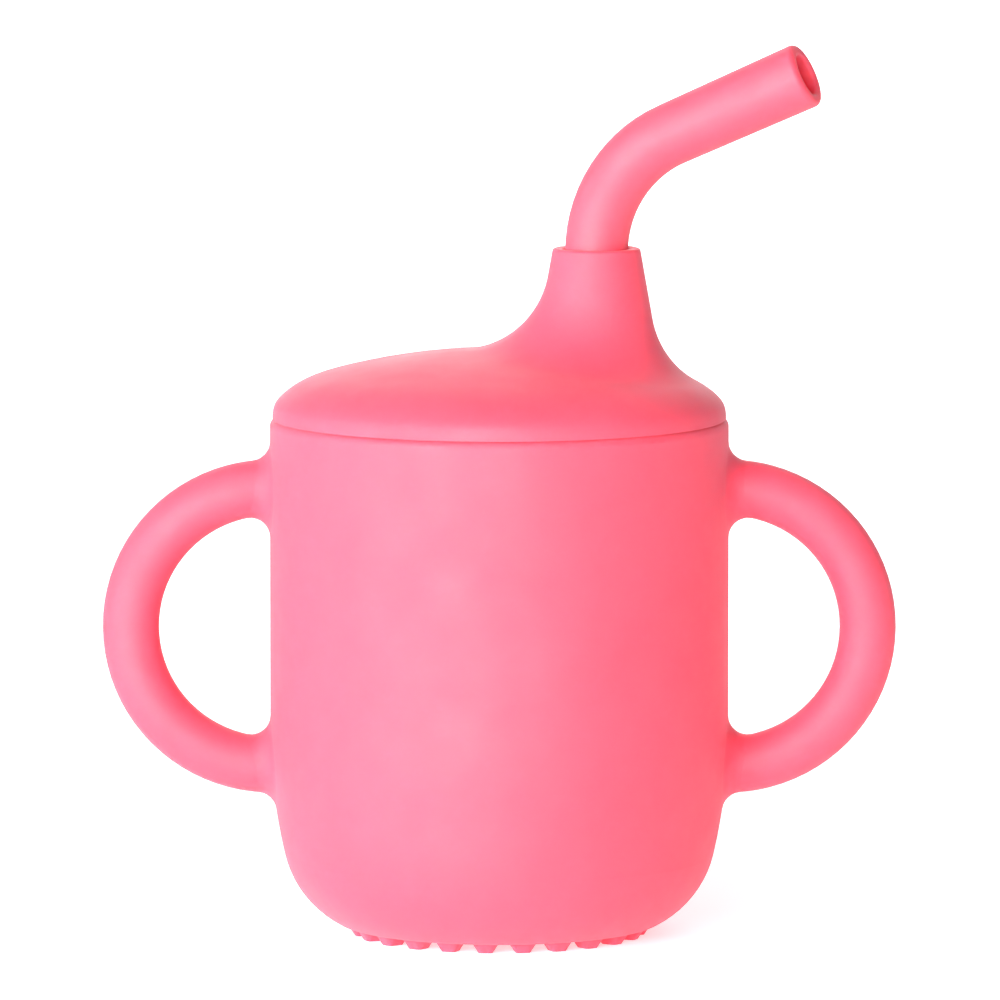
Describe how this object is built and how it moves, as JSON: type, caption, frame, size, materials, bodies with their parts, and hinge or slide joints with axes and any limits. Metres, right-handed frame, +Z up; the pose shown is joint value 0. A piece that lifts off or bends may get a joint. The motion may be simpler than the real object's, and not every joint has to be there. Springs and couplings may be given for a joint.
{
  "type": "sippy cup",
  "caption": "Two-handled toddler's cup with a push-in domed lid, an off-centre spout and a bent drinking straw.",
  "frame": {"origin": "on the cup's axis, on the plane that the grip teeth stand on", "axes": "+Z up, the handles lie along X, and the spout is offset towards +X"},
  "size_m": [0.1212, 0.07, 0.1368],
  "materials": {
    "cup_silicone": "matte coral pink silicone",
    "lid_silicone": "matte coral pink silicone",
    "straw_silicone": "matte coral pink silicone"
  },
  "bodies": {
    "cup": {"cup": "cup_silicone"},
    "lid": {"lid": "lid_silicone"},
    "straw": {"straw": "straw_silicone"}
  },
  "joints": [
    {"name": "lid_lift", "type": "slide", "parent": "cup", "child": "lid", "axis": [0, 0, 1], "range_m": [0, 0.08]},
    {"name": "straw_swivel", "type": "hinge", "parent": "lid", "child": "straw", "pos_m": [0.0148, 0, 0.1], "axis": [0, 0, 1], "continuous": true}
  ]
}
